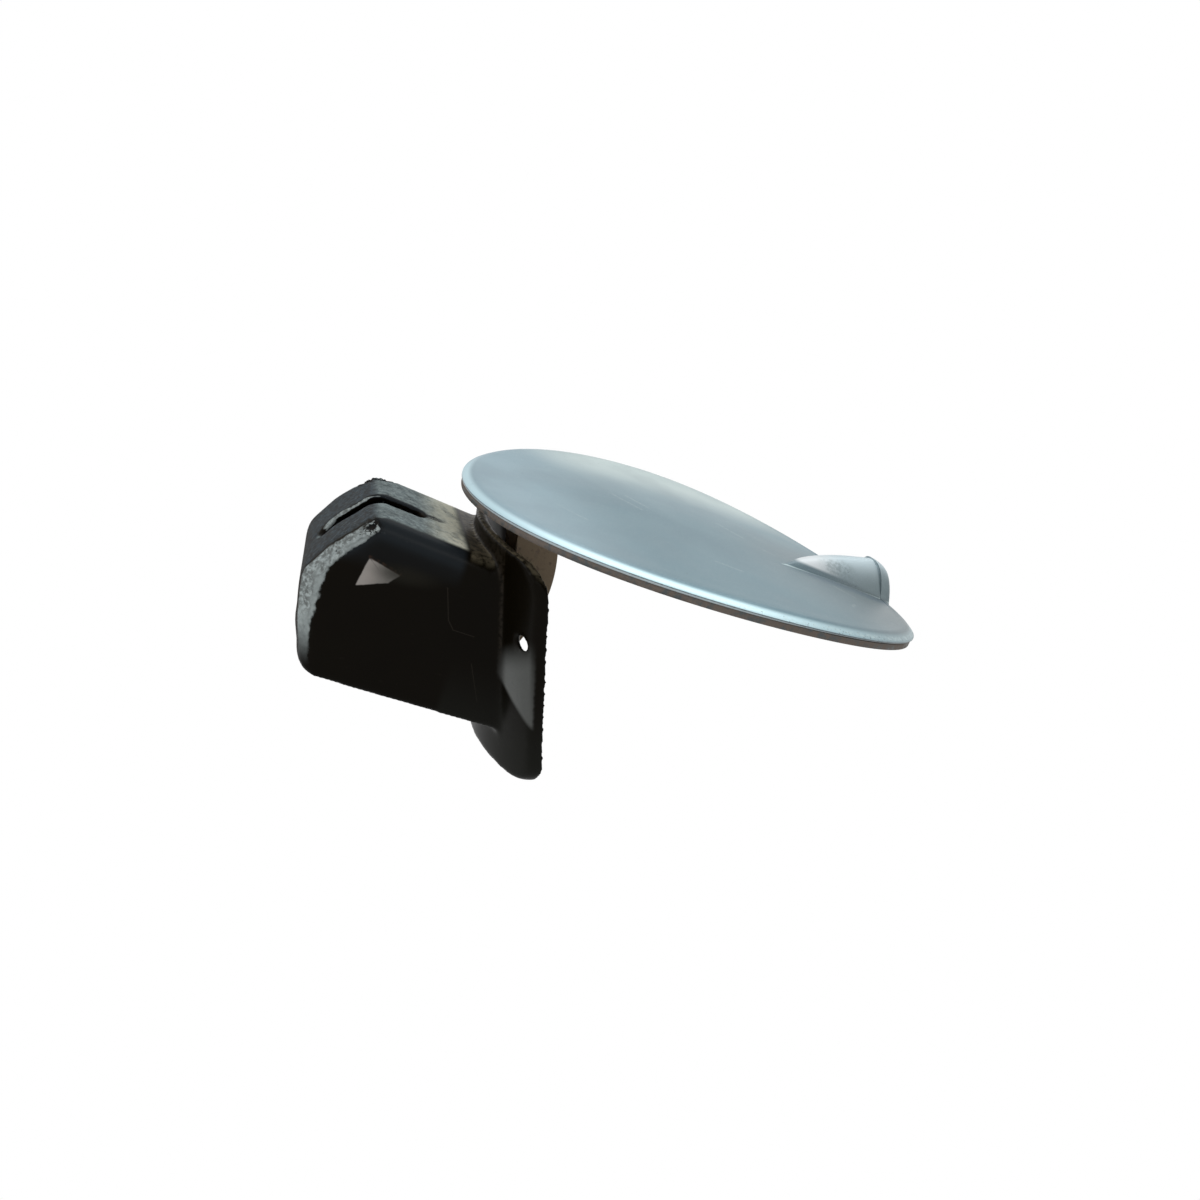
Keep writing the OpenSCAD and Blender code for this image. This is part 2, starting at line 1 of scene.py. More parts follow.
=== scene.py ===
"""Looks of the round car fuel door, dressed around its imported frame. Lengths here are in millimetres."""
import math

import bmesh
import bpy
from mathutils import Matrix, Vector, noise


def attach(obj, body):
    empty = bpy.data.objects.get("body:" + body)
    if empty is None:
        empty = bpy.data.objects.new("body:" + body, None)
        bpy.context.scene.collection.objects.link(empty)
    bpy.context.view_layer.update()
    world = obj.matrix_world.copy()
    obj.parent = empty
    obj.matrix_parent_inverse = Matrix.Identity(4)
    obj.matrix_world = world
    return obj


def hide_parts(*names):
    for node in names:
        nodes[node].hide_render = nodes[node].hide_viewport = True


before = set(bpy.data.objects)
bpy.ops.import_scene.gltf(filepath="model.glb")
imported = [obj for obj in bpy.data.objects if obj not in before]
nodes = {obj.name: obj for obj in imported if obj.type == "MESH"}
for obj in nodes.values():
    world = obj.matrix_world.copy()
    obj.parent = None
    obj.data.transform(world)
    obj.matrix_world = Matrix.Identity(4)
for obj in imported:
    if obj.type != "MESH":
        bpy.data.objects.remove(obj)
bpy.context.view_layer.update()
MM = 0.001


def linear(byte):
    """Linear share of light of one screen byte, by the sRGB curve."""
    share = byte / 255
    return share / 12.92 if byte < 11 else ((share + 0.055) / 1.055) ** 2.4


def srgb(red, green, blue):
    """Linear colour of a colour given in screen bytes."""
    return linear(red), linear(green), linear(blue)


class Shader:
    """One procedural material. Its coordinates are millimetres in the row frame."""

    def __init__(self, name):
        self.material = bpy.data.materials.new(name)
        self.material.use_nodes = True
        self.tree = self.material.node_tree
        self.shader = self.tree.nodes["Principled BSDF"]
        coordinates = self.tree.nodes.new("ShaderNodeTexCoord")
        self.normal = coordinates.outputs["Normal"]
        self.place = self.vector("SCALE", coordinates.outputs["Object"], 1 / MM)

    def link(self, value, socket):
        """Sets a socket to a number, a colour or another node's output."""
        if isinstance(value, bpy.types.NodeSocket):
            self.tree.links.new(value, socket)
        elif value is not None:
            size = len(socket.default_value) if hasattr(socket.default_value, "__len__") else 0
            socket.default_value = (*value, 1.0) if size == 4 and len(value) == 3 else value

    def vector(self, operation, a, b):
        node = self.tree.nodes.new("ShaderNodeVectorMath")
        node.operation = operation
        self.link(a, node.inputs[0])
        self.link(b, node.inputs["Scale"] if operation == "SCALE" else node.inputs[1])
        return node.outputs["Value"] if operation in ("DOT_PRODUCT", "LENGTH") else node.outputs["Vector"]

    def math(self, operation, a, b=None, clamp=False):
        node = self.tree.nodes.new("ShaderNodeMath")
        node.operation = operation
        node.use_clamp = clamp
        for value, socket in zip((a, b), node.inputs):
            self.link(value, socket)
        return node.outputs[0]

    def fold(self, operation, values):
        """One operation over two or more values, from the first to the last."""
        result = values[0]
        for value in values[1:]:
            result = self.math(operation, result, value)
        return result

    def mul(self, *values):
        return self.fold("MULTIPLY", values)

    def add(self, *values):
        return self.fold("ADD", values)

    def union(self, *values):
        return self.fold("MAXIMUM", values)

    def inverse(self, a):
        return self.math("SUBTRACT", 1.0, a)

    def along(self, vector, axis):
        node = self.tree.nodes.new("ShaderNodeSeparateXYZ")
        self.link(vector, node.inputs[0])
        return node.outputs[axis]

    def ramp(self, value, low, high):
        """0 at low, 1 at high, smooth between. low may be above high."""
        node = self.tree.nodes.new("ShaderNodeMapRange")
        node.interpolation_type = "SMOOTHSTEP"
        self.link(value, node.inputs["Value"])
        flipped = low > high
        node.inputs["From Min"].default_value = min(low, high)
        node.inputs["From Max"].default_value = max(low, high)
        node.inputs["To Min"].default_value = 1.0 if flipped else 0.0
        node.inputs["To Max"].default_value = 0.0 if flipped else 1.0
        return node.outputs["Result"]

    def noise(self, size, detail=3.0, roughness=0.5, stretch=(1, 1, 1), shift=0.0, distortion=0.0):
        """Noise whose features are about size millimetres, longer along an axis by stretch."""
        node = self.tree.nodes.new("ShaderNodeTexNoise")
        node.inputs["Scale"].default_value = 1.0 / size
        node.inputs["Detail"].default_value = detail
        node.inputs["Roughness"].default_value = roughness
        node.inputs["Distortion"].default_value = distortion
        spread = self.vector("MULTIPLY", self.place, tuple(1 / s for s in stretch))
        self.link(self.vector("ADD", spread, (shift, shift * 0.7, -shift)), node.inputs["Vector"])
        return node.outputs["Fac"]

    def mix(self, share, a, b):
        """Colour a where share is 0 and colour b where it is 1, on the Mix node's colour sockets."""
        node = self.tree.nodes.new("ShaderNodeMix")
        node.data_type = "RGBA"
        self.link(share, node.inputs[0])
        self.link(a, node.inputs[6])
        self.link(b, node.inputs[7])
        return node.outputs[2]

    def blend(self, share, a, b):
        """Number a where share is 0 and number b where it is 1, on the Mix node's number sockets."""
        node = self.tree.nodes.new("ShaderNodeMix")
        node.data_type = "FLOAT"
        self.link(share, node.inputs[0])
        self.link(a, node.inputs[2])
        self.link(b, node.inputs[3])
        return node.outputs[0]

    def bump(self, height, depth, under=None):
        """Relief of the given depth in millimetres where height goes from 0 to 1."""
        node = self.tree.nodes.new("ShaderNodeBump")
        node.inputs["Distance"].default_value = depth * MM
        self.link(height, node.inputs["Height"])
        if under is not None:
            self.link(under, node.inputs["Normal"])
        return node.outputs["Normal"]

    def half(self, direction, low, high):
        """0 where the place along a direction is at low, 1 where it is at high."""
        return self.ramp(self.vector("DOT_PRODUCT", self.place, direction), low, high)

    def within(self, centre, radius, soft, stretch=(1, 1, 1)):
        """1 inside an ellipsoid and 0 outside it."""
        shrink = tuple(1 / s for s in stretch)
        away = self.vector("MULTIPLY", self.vector("SUBTRACT", self.place, centre), shrink)
        return self.ramp(self.vector("LENGTH", away, None), radius, radius - soft)

    def line(self, a, b, width, soft=0.1):
        """1 along a straight stroke from a to b."""
        a, b = Vector(a), Vector(b)
        run = b - a
        off = self.vector("SUBTRACT", self.place, tuple(a))
        ahead = self.vector("DOT_PRODUCT", off, tuple(run))
        share = self.math("DIVIDE", ahead, run.length_squared, clamp=True)
        scaled = self.tree.nodes.new("ShaderNodeVectorMath")
        scaled.operation = "SCALE"
        scaled.inputs[0].default_value = run
        self.link(share, scaled.inputs["Scale"])
        away = self.vector("LENGTH", self.vector("SUBTRACT", off, scaled.outputs["Vector"]), None)
        return self.ramp(away, width / 2 + soft, width / 2)

    def triangle(self, a, b, c, soft=0.5):
        """1 inside a triangle whose corners are given in X and Z, counted either way round."""
        inside = 1.0
        middle = Vector(((a[0] + b[0] + c[0]) / 3, (a[1] + b[1] + c[1]) / 3))
        for start, end in ((a, b), (b, c), (c, a)):
            run = Vector(end) - Vector(start)
            inward = Vector((-run.y, run.x)).normalized()
            if inward.dot(middle - Vector(start)) < 0:
                inward = -inward
            edge = inward.dot(Vector(start))
            inside = self.mul(inside, self.half((inward.x, 0, inward.y), edge - soft, edge + soft))
        return inside

    def facing(self, direction, low, high):
        """0 where the surface's normal leans to a direction by low or less, 1 by high or more."""
        return self.ramp(self.vector("DOT_PRODUCT", self.normal, direction), low, high)

    def finish(self, **inputs):
        """Sets the shader's sockets by name, with underscores for spaces."""
        for name, value in inputs.items():
            self.link(value, self.shader.inputs[name.replace("_", " ")])
        return self.material


def wear(obj, material):
    obj.data.materials.clear()
    obj.data.materials.append(material)


# Camera

PHOTO_PIXELS = 1200
FOCAL_PIXELS = 937.8
SENSOR = 36.0
CLIP_START = 10.0
CAMERA_PLACE = Vector((-136.2, -302.0, 64.4)) * MM
CAMERA_RIGHT = Vector((0.9161, -0.2296, 0.3288))
CAMERA_FORWARD = Vector((0.3314, 0.8951, -0.2983))


def make_camera():
    forward = CAMERA_FORWARD.normalized()
    right = (CAMERA_RIGHT - forward * CAMERA_RIGHT.dot(forward)).normalized()
    up = right.cross(forward)
    data = bpy.data.cameras.new("camera")
    data.sensor_width = SENSOR
    data.lens = FOCAL_PIXELS / PHOTO_PIXELS * SENSOR
    data.clip_start = CLIP_START * MM
    camera = bpy.data.objects.new("camera", data)
    turn = Matrix((right, up, -forward)).transposed().to_4x4()
    camera.matrix_world = Matrix.Translation(CAMERA_PLACE) @ turn
    bpy.context.scene.collection.objects.link(camera)
    bpy.context.scene.camera = camera


# Stage and light

FLOOR_DEPTH = 140.0
FLOOR_HALF = 3000.0
FLOOR_PALE = (0.84, 0.83, 0.82)
FLOOR_GREY = (0.80, 0.79, 0.78)
SKY_COLOUR = (0.86, 0.93, 1.0, 1)
SKY_STRENGTH = 0.5
# Name, place, target, size, watts and colour of each lamp
LAMPS = [
    ("sky_panel", (100, 500, 900), (0, 0, -20), (900, 900), 6.0, (0.92, 0.97, 1.0)),
    ("left_window", (-700, -150, 300), (-100, 0, -40), (400, 500), 2.0, (0.95, 0.98, 1.0)),
    ("front_strip", (200, -600, 500), (0, 0, 0), (600, 200), 1.2, (1.0, 0.97, 0.93)),
]


def seen_ray(tree):
    """1 for the rays that see the white backdrop: from the camera, off gloss and through glass."""
    path = tree.nodes.new("ShaderNodeLightPath")
    seen = path.outputs["Is Camera Ray"]
    for name in ("Is Glossy Ray", "Is Transmission Ray"):
        either = tree.nodes.new("ShaderNodeMath")
        either.operation = "MAXIMUM"
        tree.links.new(seen, either.inputs[0])
        tree.links.new(path.outputs[name], either.inputs[1])
        seen = either.outputs[0]
    return seen


def add_white(tree, output, white):
    """Puts white in front of what reaches the output, for the rays that see the backdrop."""
    mix = tree.nodes.new("ShaderNodeMixShader")
    surface = output.inputs["Surface"].links[0].from_socket
    tree.links.new(seen_ray(tree), mix.inputs[0])
    tree.links.new(surface, mix.inputs[1])
    tree.links.new(white.outputs[0], mix.inputs[2])
    tree.links.new(mix.outputs[0], output.inputs["Surface"])


def make_floor():
    half = FLOOR_HALF * MM
    mesh = bpy.data.meshes.new("floor")
    z = -FLOOR_DEPTH * MM
    corners = [(-half, -half, z), (half, -half, z), (half, half, z), (-half, half, z)]
    mesh.from_pydata(corners, [], [(0, 1, 2, 3)])
    floor = bpy.data.objects.new("floor", mesh)
    bpy.context.scene.collection.objects.link(floor)
    shader = Shader("floor_paper")
    grain = shader.noise(40, 4)
    colour = shader.mix(grain, FLOOR_GREY, FLOOR_PALE)
    material = shader.finish(Base_Color=colour, Roughness=0.9)
    white = shader.tree.nodes.new("ShaderNodeEmission")
    add_white(shader.tree, shader.tree.nodes["Material Output"], white)
    wear(floor, material)


def make_world():
    world = bpy.data.worlds.new("studio")
    world.use_nodes = True
    bpy.context.scene.world = world
    tree = world.node_tree
    background = tree.nodes["Background"]
    background.inputs["Color"].default_value = SKY_COLOUR
    background.inputs["Strength"].default_value = SKY_STRENGTH
    white = tree.nodes.new("ShaderNodeBackground")
    white.inputs["Color"].default_value = (1, 1, 1, 1)
    add_white(tree, tree.nodes["World Output"], white)


def area_light(name, place, target, size, watts, colour):
    data = bpy.data.lights.new(name, "AREA")
    data.shape = "RECTANGLE"
    data.size, data.size_y = size[0] * MM, size[1] * MM
    data.energy = watts
    data.color = colour
    lamp = bpy.data.objects.new(name, data)
    lamp.location = Vector(place) * MM
    lamp.rotation_euler = (Vector(target) - Vector(place)).to_track_quat("-Z", "Y").to_euler()
    bpy.context.scene.collection.objects.link(lamp)


# Meshes and pieces

SHARP_ANGLE = 38.0
WELD = 0.002


def fade(value, low, high):
    """0 at low, 1 at high, smooth between. low may be above high."""
    t = min(1.0, max(0.0, (value - low) / (high - low)))
    return t * t * (3 - 2 * t)


def evaluated(piece):
    """The mesh of a piece with its modifiers, as a new mesh."""
    bpy.context.view_layer.update()
    graph = bpy.context.evaluated_depsgraph_get()
    mesh = bpy.data.meshes.new_from_object(piece.evaluated_get(graph), depsgraph=graph)
    mesh.name = piece.name
    return mesh


def welded(node, name):
    """A copy of a CAD node's mesh in the row frame, with its faces joined."""
    source = bmesh.new()
    source.from_mesh(nodes[node].data)
    source.transform(nodes[node].matrix_world)
    bmesh.ops.remove_doubles(source, verts=source.verts, dist=WELD * MM)
    mesh = bpy.data.meshes.new(name)
    source.to_mesh(mesh)
    source.free()
    return mesh


def place_piece(name, mesh, body, slot, *stands_for, sharp=SHARP_ANGLE):
    """Puts a mesh made in the row frame on a body, in place of CAD nodes."""
    mesh.polygons.foreach_set("use_smooth", [True] * len(mesh.polygons))
    mesh.set_sharp_from_angle(angle=math.radians(sharp))
    piece = bpy.data.objects.new(name, mesh)
    bpy.context.scene.collection.objects.link(piece)
    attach(piece, body)
    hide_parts(*stands_for)
    return piece


# The flap's skin, drawn finer than the frame's

FLAP_R = 82.5
FLAP_SAG = 7.0
FLAP_DISH = 2.0
ROLL_R = 3.0
ROLL_W = 5.0
WALL_LOW = 4.2
SKIN_T = 1.2
# The wall's rounded foot: inset from the flap's edge, and depth
WALL_FOOT = [(0.0, 3.85), (0.1, 4.08), (0.35, WALL_LOW), (0.85, WALL_LOW), (1.1, 4.08), (SKIN_T, 3.85)]
SCOOP_NOSE_X = 31.0
SCOOP_HALF_W = 11.2
SCOOP_H = 12.8
SCOOP_NOSE_LEN = 36.0
SCOOP_SIDE = 1.17
SCOOP_LEAN = 3.5
SCOOP_TURN = math.radians(2.0)
# Face left between the hood and the rim, and share of the rim's depth left in the mouth
LIP = 0.4
LIP_SHARE = 0.4
BEND_R = (FLAP_R ** 2 + FLAP_SAG ** 2) / (2 * FLAP_SAG)
RAY_X = FLAP_R - SCOOP_HALF_W - SCOOP_LEAN
RAYS = 360
RAY_BUNCHING = math.radians(37.0)
HOOD_RINGS = 14
FIELD_RINGS = 16
ROLL_STEPS = 8
HALVINGS = 24
# A place across the hood that counts as outside it
OUTSIDE_HOOD = 2.0


def bend(x):
    return math.sqrt(BEND_R ** 2 - x ** 2) - BEND_R


def nose(x):
    t = min(1.0, max(0.0, (x - SCOOP_NOSE_X) / SCOOP_NOSE_LEN))
    return t * (2 - t)


def hood_place(x, y):
    """Place across the hood, -1 at its near edge and 1 at its far one."""
    width = SCOOP_HALF_W * nose(x)
    return (y + SCOOP_SIDE * SCOOP_HALF_W * (1 - nose(x))) / width if width > 0 else OUTSIDE_HOOD


def hood(x, y):
    across = hood_place(x, y)
    if abs(across) >= 1:
        return 0.0
    rise = SCOOP_H * (x - SCOOP_NOSE_X) / (FLAP_R - SCOOP_LEAN - SCOOP_NOSE_X)
    return rise * (1 - across ** 2)


def skin_height(x, y):
    return bend(x) - FLAP_DISH * max(0.0, 1 - (x * x + y * y) / FLAP_R ** 2) + hood(x, y)


def skin_ray(i):
    """Direction of a ray, where it leaves the hood and meets the rim, its share of the mouth, its aim."""
    turn = 2 * math.pi * i / RAYS
    angle = turn - RAY_BUNCHING * math.sin(turn)
    aim = ((FLAP_R - ROLL_W) * math.cos(angle), (FLAP_R - ROLL_W) * math.sin(angle))
    in_mouth = aim[0] >= RAY_X and abs(aim[1]) < SCOOP_HALF_W
    mouth = 1 - (aim[1] / SCOOP_HALF_W) ** 2 if in_mouth else 0.0
    reach = math.hypot(aim[0] - RAY_X, aim[1])
    way = ((aim[0] - RAY_X) / reach, aim[1] / reach)
    end = reach - SCOOP_LEAN * mouth
    low, high = 0.0, 2 * FLAP_R
    for _ in range(HALVINGS):
        middle = (low + high) / 2
        inside = abs(hood_place(RAY_X + middle * way[0], middle * way[1])) < 1
        low, high = (middle, high) if inside else (low, middle)
    return way, min(low, end - LIP), end, mouth, aim


def skin_section():
    """Rolled rim and turned wall of the skin: radius, and depth below the rim."""
    steps = [math.pi / 2 * j / ROLL_STEPS for j in range(ROLL_STEPS + 1)]
    outer = [(FLAP_R - ROLL_W + ROLL_W * math.sin(t), ROLL_R - ROLL_R * math.cos(t)) for t in steps]
    inner = [(FLAP_R - ROLL_W + (ROLL_W - SKIN_T) * math.sin(t), ROLL_R - (ROLL_R - SKIN_T) * math.cos(t))
             for t in reversed(steps)]
    return outer + [(FLAP_R - inset, depth) for inset, depth in WALL_FOOT] + inner


# How the photo's flap departs from a plain round pressing

FLAP_STRETCH = 1.018
HINGE_END_LIFT = 1.4
RIM_SQUEEZE = 1.8
# Radius, and depth below the bent face, at which the squeeze sets in and is full
SQUEEZE_RADIUS = (68, 78)
SQUEEZE_DEPTH = (0.5, WALL_LOW)


def refit(mesh):
    """Stretches the flap a little along X, lifts its hinge end and draws its rim thinner."""
    for vertex in mesh.vertices:
        x, y, z = vertex.co / MM
        depth = bend(x) - z
        z += RIM_SQUEEZE * fade(math.hypot(x, y), *SQUEEZE_RADIUS) * fade(depth, *SQUEEZE_DEPTH)
        z += HINGE_END_LIFT * (x / FLAP_R) ** 2 if x < 0 else 0.0
        vertex.co = Vector((x * FLAP_STRETCH, y, z)) * MM


def make_skin():
    rays = [skin_ray(i) for i in range(RAYS)]
    rings = HOOD_RINGS + FIELD_RINGS

    def on_face(k, ray, inset):
        way, hood_end, end = ray[:3]
        if k <= HOOD_RINGS:
            d = hood_end * k / HOOD_RINGS
        else:
            d = hood_end + (end - hood_end) * (k - HOOD_RINGS) / FIELD_RINGS
        x, y = RAY_X + d * way[0], d * way[1]
        return x, y, skin_height(x, y) - inset

    def on_rim(ray, radius, depth):
        way, _, end, mouth, aim = ray
        scale = (radius - SCOOP_LEAN * mouth) / (FLAP_R - ROLL_W)
        lift = hood(RAY_X + end * way[0], end * way[1])
        fall = depth * (1 - (1 - LIP_SHARE) * mouth)
        return aim[0] * scale, aim[1] * scale, bend(aim[0] * scale) + lift - fall

    rows = [[on_face(k, ray, 0.0) for ray in rays] for k in range(1, rings)]
    rows += [[on_rim(ray, *spot) for ray in rays] for spot in skin_section()]
    rows += [[on_face(k, ray, SKIN_T) for ray in rays] for k in range(rings - 1, 0, -1)]
    points = [on_face(0, rays[0], 0.0), on_face(0, rays[0], SKIN_T)]
    points += [point for row in rows for point in row]

    def at(row, i):
        return 2 + row * RAYS + i % RAYS

    faces = [(0, at(0, i), at(0, i + 1)) for i in range(RAYS)]
    faces += [(1, at(len(rows) - 1, i + 1), at(len(rows) - 1, i)) for i in range(RAYS)]
    faces += [(at(row, i), at(row + 1, i), at(row + 1, i + 1), at(row, i + 1))
              for row in range(len(rows) - 1) for i in range(RAYS)]
    mesh = bpy.data.meshes.new("painted_skin")
    mesh.from_pydata([Vector(point) * MM for point in points], [], faces)
    mesh.transform(Matrix.Rotation(SCOOP_TURN, 4, "Z"))
    refit(mesh)
    return place_piece("painted_skin", mesh, "flap", "body_paint", "flap_skin")


def make_panel():
    mesh = welded("flap_inner_panel", "pressed_inner_panel")
    refit(mesh)
    return place_piece("pressed_inner_panel", mesh, "flap", "inner_paint", "flap_inner_panel")


# The hinge box, moulded with soft edges and worn along them

BOX_VOXEL = 0.8
BOX_EDGE = 0.8
BOX_EDGE_STEPS = 3
BOX_EDGE_FROM = 40.0
BOX_SMOOTH_SHARE = 0.5
BOX_SMOOTH_PASSES = 22
BOX_SHARP = 120.0
GRID_TURN = math.radians(33.0)
GRID_AXIS = (0.5, 0.7, 0.51)
WORN_FAR_TOP = Vector((-109.0, 23.5, -21.0))
WORN_SLOT_END = Vector((-90.5, -3.5, -21.5))
SLOT_WEAR_STRETCH = 2.2
SHOULDER_FULLER = 2.5
FOOT_DRAWN = 3.2
# Where each change sets in and where it is full, along an axis or as a distance
EDGE_WEAR_X = (-96, -104)
EDGE_WEAR_Z = (-66, -58)
FAR_TOP_REACH = (8, 3)
SLOT_END_REACH = (2.6, 0.8)
SAG_X = (-100, -118)
SHOULDER_BELOW_Z = (-66, -42)
SHOULDER_ABOVE_Z = (-20, -32)
FOOT_Z = (-56, -78)
FOOT_Y = (8, -24)


def worn_depth(place, normal):
    """How far wear has taken the surface back, in millimetres."""
    spot = place / MM
    edge = fade(-normal.y, 0.4, 0.7) * fade(-normal.y, 0.99, 0.85) * fade(-normal.x, 0.15, 0.4)
    edge *= fade(spot.z, *EDGE_WEAR_Z) * fade(spot.x, *EDGE_WEAR_X)
    chips = max(0.0, noise.noise(spot * 0.55) + 0.1) * 0.9 + max(0.0, noise.noise(spot * 1.4)) * 0.35
    depth = edge * chips
    depth += fade((spot - WORN_FAR_TOP).length, *FAR_TOP_REACH) * (0.2 + 2.4 * abs(noise.noise(spot * 0.6)))
    off = spot - WORN_SLOT_END
    off.x /= SLOT_WEAR_STRETCH
    depth += fade(off.length, *SLOT_END_REACH) * (0.4 + 0.5 * abs(noise.noise(spot * 1.1)))
    return depth + 0.03 * noise.noise(spot * 0.12)


def sagged(place):
    """The place after the end wall's moulded curve: fuller at the shoulder, drawn in at the foot."""
    spot = place / MM
    back = fade(spot.x, *SAG_X)
    full = SHOULDER_FULLER * fade(spot.z, *SHOULDER_BELOW_Z) * fade(spot.z, *SHOULDER_ABOVE_Z)
    drawn = FOOT_DRAWN * fade(spot.z, *FOOT_Z) * fade(spot.y, *FOOT_Y)
    return place + Vector(((drawn - full) * back * MM, 0, 0))


def make_box():
    """The housing with soft, worn edges. The remesh's grid is turned away from the housing's faces."""
    turn = Matrix.Rotation(GRID_TURN, 4, GRID_AXIS)
    draft = bpy.data.objects.new("worn_hinge_box", welded("housing", "worn_hinge_box"))
    draft.data.transform(turn)
    bpy.context.scene.collection.objects.link(draft)
    bevel = draft.modifiers.new("round", "BEVEL")
    bevel.width = BOX_EDGE * MM
    bevel.segments = BOX_EDGE_STEPS
    bevel.limit_method = "ANGLE"
    bevel.angle_limit = math.radians(BOX_EDGE_FROM)
    remesh = draft.modifiers.new("mould", "REMESH")
    remesh.mode = "VOXEL"
    remesh.voxel_size = BOX_VOXEL * MM
    smooth = draft.modifiers.new("soften", "SMOOTH")
    smooth.factor = BOX_SMOOTH_SHARE
    smooth.iterations = BOX_SMOOTH_PASSES
    mesh = evaluated(draft)
    bpy.data.objects.remove(draft)
    mesh.transform(turn.inverted())
    moved = [(v.index, sagged(v.co - v.normal * worn_depth(v.co, v.normal) * MM)) for v in mesh.vertices]
    for index, place in moved:
        mesh.vertices[index].co = place
    return place_piece("worn_hinge_box", mesh, "hinge_box", "housing_plastic", "housing", sharp=BOX_SHARP)


# Paint

PAINT = srgb(116, 156, 168)
# Painted reflection of the sky on the flap's face: paler on the far half, the far rim and the hinge end,
# greyer by the scoop as painted shade
FAR_HALF_PAINTED_REFLECTION = srgb(160, 187, 195)
FAR_RIM_PAINTED_REFLECTION = srgb(240, 255, 250)
HINGE_END_PAINTED_REFLECTION = srgb(170, 200, 211)
NEAR_SCOOP_PAINTED_SHADE = srgb(143, 154, 156)
PAINT_CLOUD = srgb(112, 138, 150)
PAINT_SHADE = srgb(110, 130, 148)
PAINT_SCRATCH = srgb(222, 235, 236)
PAINT_STREAK = srgb(205, 220, 222)
# Painted light on the hood: highlights on its top and nose, shade low on its side
HOOD_TOP_PAINTED_LIGHT = srgb(216, 232, 236)
HOOD_NOSE_PAINTED_HIGHLIGHT = srgb(252, 255, 255)
HOOD_LOW_PAINTED_SHADE = srgb(142, 157, 160)
HOOD_PATCH_PAINTED_SHADE = srgb(140, 154, 154)
# Share of the colours above that the paint keeps, on the face and on the hood
PAINT_DEPTH = 0.53
HOOD_DEPTH = 0.63
# Colours that are laid over it as they are
# Painted highlight along the hood's crease
CREASE_PAINTED_HIGHLIGHT = srgb(206, 222, 220)
PAINT_FLAKE = srgb(190, 206, 210)
PAINT_PIT = srgb(60, 72, 78)
# Painted highlights on the rim: a band along its near side, and a broken line on the roll's outer part
RIM_PAINTED_HIGHLIGHT = srgb(214, 240, 244)
RIM_BROKEN_HIGHLIGHT = srgb(190, 206, 204)
RIM_SPECK = srgb(30, 32, 34)
WALL_HINGE_END = srgb(134, 146, 150)
WALL_SCOOP_END = srgb(98, 100, 97)
WALL_DIRT = srgb(70, 72, 70)
# Low on the wall: a painted dark reflection in a thin line, and a painted highlight on the hem
WALL_PAINTED_DARK_REFLECTION = srgb(74, 88, 98)
HEM_PAINTED_HIGHLIGHT = srgb(178, 188, 190)
# Mottled patch of painted shade on the hood, and the painted shade beside the hood and the painted highlight
# on the crease along its near side
HOOD_PATCH = (58, -5, -1)
HOOD_SHADE = ((44, -15, -3.5), (80, -13.5, -6.8))
HOOD_CREASE = ((32, -11.6, -2.6), (83, -8.2, -6.9))
# Scratches on the face, from and to a place in X and Y
PAINT_STROKES = [
    ((-27, 22), (-18, 9)), ((-20, 24), (-14, 15)), ((18, 22), (25, 11)), ((30, 2), (38, -7)),
    ((50, -20), (55, -27)), ((-55, -12), (-47, -24)), ((-6, -38), (2, -42)), ((44, -44), (47, -40)),
]


def face_tone(s, x, y):
    """Colour of the flap's face: pale towards the far rim and the hinge end as a painted reflection of the
    sky, greyer by the scoop as painted shade.
    """
    far = s.add(y, s.mul(s.ramp(x, -40, -80), -30))
    tone = s.mix(s.ramp(far, 0, 46), PAINT, FAR_HALF_PAINTED_REFLECTION)
    tone = s.mix(s.mul(s.ramp(far, 34, 66), 0.95), tone, FAR_RIM_PAINTED_REFLECTION)
    tone = s.mix(s.ramp(x, -26, -70), tone, HINGE_END_PAINTED_REFLECTION)
    tone = s.mix(s.mul(s.ramp(x, 0, 70), s.ramp(y, 40, 0), 0.9), tone, NEAR_SCOOP_PAINTED_SHADE)
    return s.mix(s.mul(s.ramp(s.noise(34, 4), 0.35, 0.7), 0.3), tone, PAINT_CLOUD)


def hood_tone(s, tone, hooded, x, y):
    """The hood's painted light: painted highlights on the nose and the top, painted shade low on its side,
    by the mouth and in a mottled patch on its near side.
    """
    across = s.add(y, s.mul(x, -0.035))
    # Painted highlights on the top and the nose, painted shade low on the side by the mouth
    tone = s.mix(s.mul(hooded, s.ramp(across, -12, -4)), tone, HOOD_TOP_PAINTED_LIGHT)
    tone = s.mix(s.mul(hooded, s.ramp(x, 62, 46)), tone, HOOD_NOSE_PAINTED_HIGHLIGHT)
    tone = s.mix(s.mul(hooded, s.ramp(x, 58, 76), s.ramp(across, -4, -11)), tone, HOOD_LOW_PAINTED_SHADE)
    # A mottled patch of painted shade on the hood's near side
    patch = s.within(HOOD_PATCH, 9, 6, (1.2, 0.6, 1))
    toned_area = s.mul(hooded, patch, s.ramp(s.noise(1.6, 5, 0.7), 0.4, 0.6))
    return s.mix(s.mul(toned_area, 0.55), tone, HOOD_PATCH_PAINTED_SHADE)


def scratched(s, tone, hooded):
    """Fine streaks both ways, the scratches, and the shade beside the hood."""
    streak = s.ramp(s.noise(0.8, 2, 0.5, (14, 1.2, 1.2), 3, 0.6), 0.70, 0.78)
    swirl = s.ramp(s.noise(0.9, 2, 0.5, (1.3, 12, 1.2), 9, 0.8), 0.72, 0.80)
    tone = s.mix(s.mul(s.union(streak, swirl), 0.22), tone, PAINT_STREAK)
    strokes = [[(*spot, skin_height(*spot)) for spot in ends] for ends in PAINT_STROKES]
    marks = s.union(*(s.line(start, end, 0.5, 0.8) for start, end in strokes))
    marks = s.mul(marks, s.ramp(s.noise(0.5, 3, 0.6), 0.42, 0.6))
    tone = s.mix(s.mul(marks, 0.4), tone, PAINT_SCRATCH)
    shade = s.line(*HOOD_SHADE, 3.0, 4.5)
    return s.mix(s.mul(shade, s.inverse(hooded), 0.4), tone, PAINT_SHADE)


